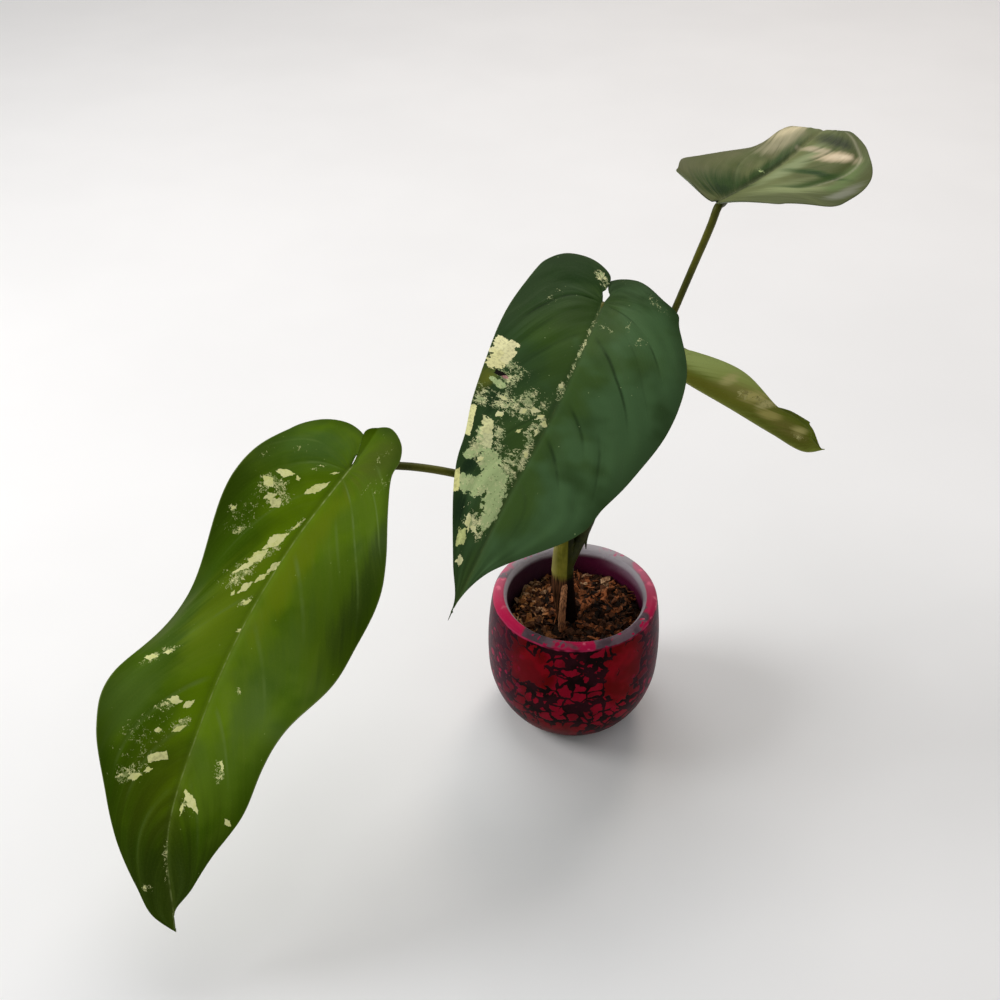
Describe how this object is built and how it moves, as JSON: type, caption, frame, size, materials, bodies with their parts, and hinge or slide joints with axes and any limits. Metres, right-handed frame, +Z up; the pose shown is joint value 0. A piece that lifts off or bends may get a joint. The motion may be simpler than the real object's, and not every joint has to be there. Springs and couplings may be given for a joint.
{
  "type": "potted variegated syngonium chiapense",
  "caption": "Young heart-leaved arum-family climber with cream-flecked leaves on long stalks, growing in bark in a small rounded glazed pot.",
  "frame": {"origin": "middle of the pot's flat base, on the surface it stands on", "axes": "+Z up along the pot's axis; -Y towards the viewer of the picture, where the centre leaf hangs; +X to the picture's right"},
  "size_m": [0.5047, 0.499, 0.4037],
  "materials": {
    "glazed_pot": "gloss glaze, deep red over a black network",
    "bark_soil": "rough coarse bark chips",
    "stem": "satin green stem",
    "root": "rough brown root",
    "petiole": "satin olive stalk",
    "blade_olive": "semi-gloss leaf with cream flecks",
    "blade_dark": "semi-gloss leaf with cream patches",
    "blade_grey": "semi-gloss leaf with grey-green sheen",
    "blade_young": "satin soft new leaf"
  },
  "bodies": {
    "root": {"pot": "glazed_pot", "soil": "bark_soil", "stem": "stem", "aerial_root": "root", "petiole_upper": "petiole", "petiole_left": "petiole", "petiole_centre": "petiole", "petiole_young": "petiole", "leaf_left": "blade_olive", "leaf_centre": "blade_dark", "leaf_upper": "blade_grey", "leaf_young": "blade_young"}
  },
  "joints": []
}
